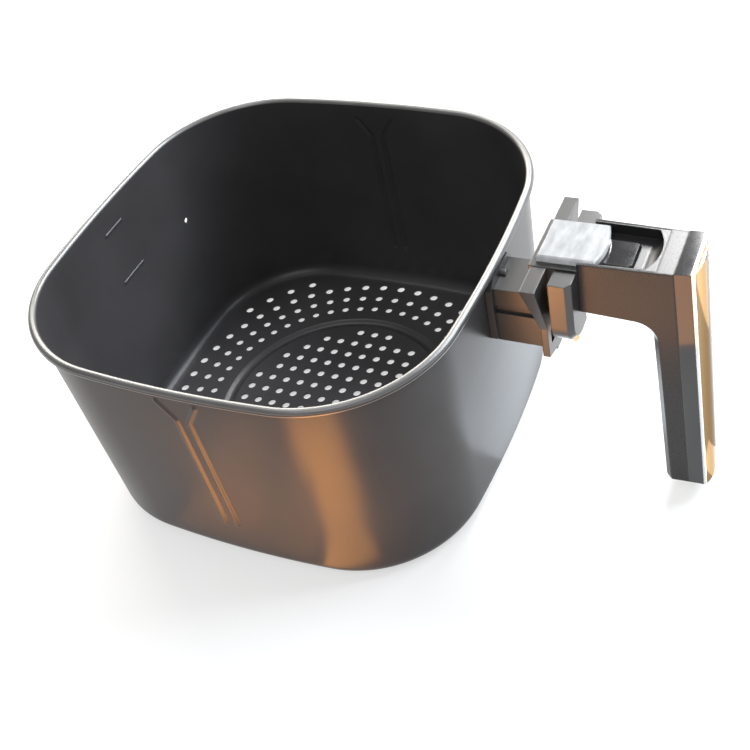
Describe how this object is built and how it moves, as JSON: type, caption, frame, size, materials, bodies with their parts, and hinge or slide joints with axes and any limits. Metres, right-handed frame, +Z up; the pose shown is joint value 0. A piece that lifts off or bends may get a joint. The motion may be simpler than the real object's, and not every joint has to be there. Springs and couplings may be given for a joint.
{
  "type": "air fryer basket",
  "caption": "Square deep frying basket with a perforated floor and rolled rim, and an L-shaped pull handle with a latch, a release button and a sliding clear guard.",
  "frame": {"origin": "on the ground under the middle of the basket, where the foot ring's centre is", "axes": "+Z up, the handle points towards -Y, +X to the right as seen from the handle's grip"},
  "size_m": [0.2296, 0.3286, 0.1468],
  "materials": {
    "nonstick_coat": "satin non-stick coating on steel sheet",
    "coated_rivet": "satin coated rivet",
    "plate_steel": "black painted steel",
    "bracket_plastic": "dark grey satin moulding",
    "shell_plastic": "dark grey matt moulding",
    "screw_steel": "plain steel",
    "clear_plastic": "clear moulding",
    "gloss_black": "gloss black moulding",
    "yellow_zinc": "yellow zinc plated steel",
    "bright_trim": "bright chrome",
    "polished_panel": "polished metal panel"
  },
  "bodies": {
    "basket": {"basket_wall": "nonstick_coat", "basket_floor": "nonstick_coat", "bracket_rivets": "coated_rivet", "wall_plate": "plate_steel", "handle_bracket": "bracket_plastic", "handle_base": "bracket_plastic", "base_screws": "screw_steel", "slide_track": "bracket_plastic", "handle_shell": "shell_plastic", "arm_screws": "screw_steel", "button_well": "gloss_black", "latch_pin": "screw_steel", "latch_spring": "screw_steel", "grip_band": "gloss_black", "grip_bezel": "bright_trim", "grip_inlay": "polished_panel", "grip_screws": "screw_steel"},
    "guard": {"guard_cover": "clear_plastic"},
    "button": {"release_button": "gloss_black"},
    "latch": {"latch_lever": "yellow_zinc"}
  },
  "joints": [
    {"name": "guard_slide", "type": "slide", "parent": "basket", "child": "guard", "axis": [0, -1, 0], "range_m": [0, 0.013]},
    {"name": "button_press", "type": "slide", "parent": "basket", "child": "button", "axis": [0, 0, -1], "range_m": [0, 0.0022], "stiffness_N_per_m": 800, "springref_m": -0.003},
    {"name": "latch_pivot", "type": "hinge", "parent": "basket", "child": "latch", "pos_m": [0, -0.1515, 0.1258], "axis": [1, 0, 0], "range_deg": [0, 5.75], "deforming": ["latch_spring"]}
  ],
  "couplings": [
    {"joint": "latch_pivot", "follows": "button_press", "rad_per_m": 45.455}
  ]
}
